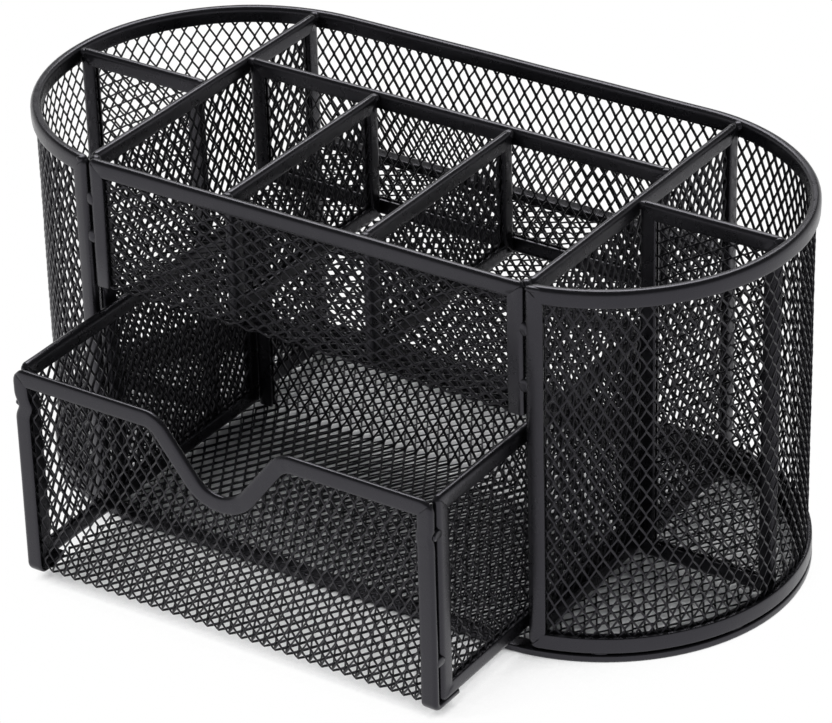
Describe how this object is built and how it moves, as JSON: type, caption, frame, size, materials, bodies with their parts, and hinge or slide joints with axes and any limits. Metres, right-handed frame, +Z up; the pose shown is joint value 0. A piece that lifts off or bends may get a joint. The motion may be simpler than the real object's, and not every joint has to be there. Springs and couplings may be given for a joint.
{
  "type": "pen stand with drawer",
  "caption": "Desk pen stand of black expanded metal mesh with round ends, divided compartments over a sliding drawer.",
  "frame": {"origin": "on the table, under the middle of the whole piece with its drawer open as at rest", "axes": "+X along the length, to the right seen from the front; +Y towards the back; +Z up"},
  "size_m": [0.22, 0.1448, 0.105],
  "materials": {
    "strip": "satin black powder coat on folded steel strip",
    "mesh": "satin black powder coat on expanded steel mesh",
    "weld": "satin black powder coat over small welds"
  },
  "bodies": {
    "stand": {"base_rim": "strip", "base_mesh": "mesh", "shell_mesh": "mesh", "shell_top_rim": "strip", "shell_bottom_rim": "strip", "shell_left_post": "strip", "shell_right_post": "strip", "left_divider_frame": "strip", "left_divider_mesh": "mesh", "right_divider_frame": "strip", "right_divider_mesh": "mesh", "left_end_divider_frame": "strip", "left_end_divider_mesh": "mesh", "right_end_divider_frame": "strip", "right_end_divider_mesh": "mesh", "long_divider_frame": "strip", "long_divider_mesh": "mesh", "cross_divider_left_frame": "strip", "cross_divider_left_mesh": "mesh", "cross_divider_right_frame": "strip", "cross_divider_right_mesh": "mesh", "front_panel_frame": "strip", "front_panel_mesh": "mesh", "shelf_mesh": "mesh", "shelf_back_strip": "strip", "base_welds": "weld", "corner_welds": "weld"},
    "drawer": {"drawer_front_frame": "strip", "drawer_front_mesh": "mesh", "drawer_left_side_frame": "strip", "drawer_left_side_mesh": "mesh", "drawer_right_side_frame": "strip", "drawer_right_side_mesh": "mesh", "drawer_back_frame": "strip", "drawer_back_mesh": "mesh", "drawer_floor_mesh": "mesh", "drawer_welds": "weld"}
  },
  "joints": [
    {"name": "drawer_slide", "type": "slide", "parent": "stand", "child": "drawer", "axis": [0, -1, 0], "range_m": [-0.038, 0.042]}
  ]
}
